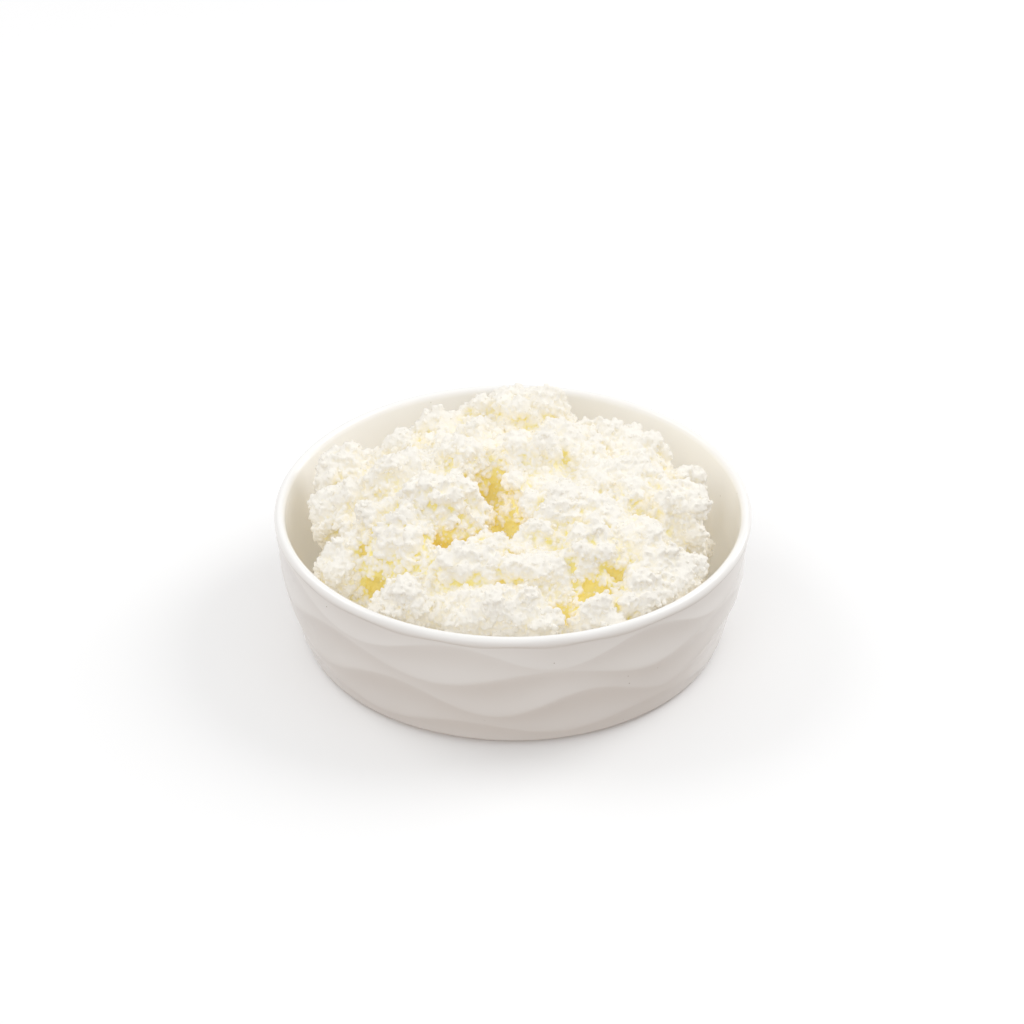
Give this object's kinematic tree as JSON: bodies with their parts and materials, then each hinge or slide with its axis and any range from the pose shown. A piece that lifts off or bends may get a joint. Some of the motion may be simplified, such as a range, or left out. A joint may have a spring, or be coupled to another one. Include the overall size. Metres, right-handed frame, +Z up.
{
  "type": "bowl of ricotta",
  "caption": "Round white glazed bowl with a wavy, dimpled outside and a smooth rolled lip, heaped above the rim with crumbly white ricotta curd.",
  "frame": {"origin": "centre of the bowl on the plane that its foot stands on", "axes": "+Z up out of the bowl, -Y towards the side that the picture shows, +X to the right seen from there"},
  "size_m": [0.15, 0.15, 0.0658],
  "materials": {
    "glazed_porcelain": "smooth glossy off-white glaze",
    "ricotta_curd": "moist crumbly white curd, warm cream in its crevices"
  },
  "bodies": {
    "root": {"bowl": "glazed_porcelain", "ricotta": "ricotta_curd"}
  },
  "joints": []
}
